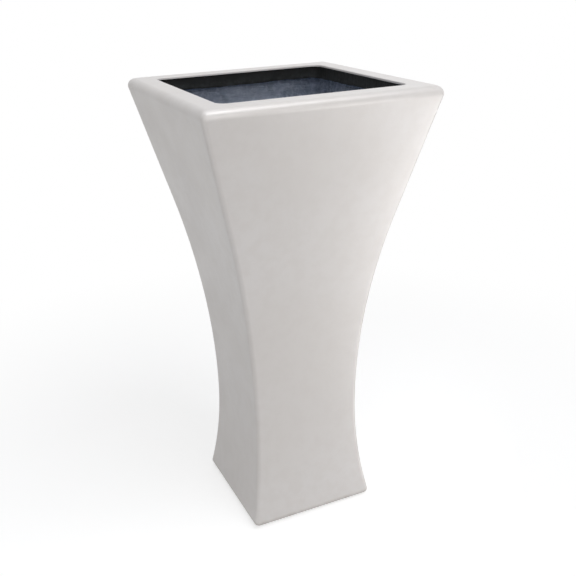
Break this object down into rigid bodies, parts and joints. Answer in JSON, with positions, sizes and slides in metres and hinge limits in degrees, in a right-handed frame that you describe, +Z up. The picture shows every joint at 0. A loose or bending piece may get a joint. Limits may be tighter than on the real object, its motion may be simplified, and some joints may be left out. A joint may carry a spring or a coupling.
{
  "type": "tall fiberglass planter",
  "caption": "Tall square hourglass planter with curved walls, a waist, a flared top with a wide flat rim and dark inner lip, an open deep cavity, rubber feet and a pull-out drain plug.",
  "frame": {"origin": "on the floor, under the middle of the planter", "axes": "+Z up; -Y out of the face that the picture shows wide; -X out of the face that it shows narrow, on the left; +X to the right"},
  "size_m": [0.4514, 0.4514, 0.9],
  "materials": {
    "gelcoat": "satin off-white gelcoat outside, raw blue-grey resin laminate inside",
    "dark_laminate": "hand-laid glass fibre in near-black resin, slightly rough",
    "grey_laminate": "hand-laid glass fibre in blue-grey resin, rough",
    "black_plastic": "moulded, fine matte",
    "plug_rubber": "moulded rubber",
    "foot_rubber": "moulded rubber",
    "screw_steel": "bare stainless steel"
  },
  "bodies": {
    "planter": {"outer_shell": "gelcoat", "rim_lip_back": "dark_laminate", "rim_lip_left": "dark_laminate", "rim_lip_front": "dark_laminate", "rim_lip_right": "dark_laminate", "base_panel": "grey_laminate", "drain_sleeve": "black_plastic", "foot_pad_front_left": "foot_rubber", "foot_pad_back_left": "foot_rubber", "foot_pad_front_right": "foot_rubber", "foot_pad_back_right": "foot_rubber", "foot_screws": "screw_steel"},
    "plug": {"drain_plug": "plug_rubber"}
  },
  "joints": [
    {"name": "drain_plug_pull", "type": "slide", "parent": "planter", "child": "plug", "axis": [0, 0, 1], "range_m": [0, 0.04]}
  ]
}
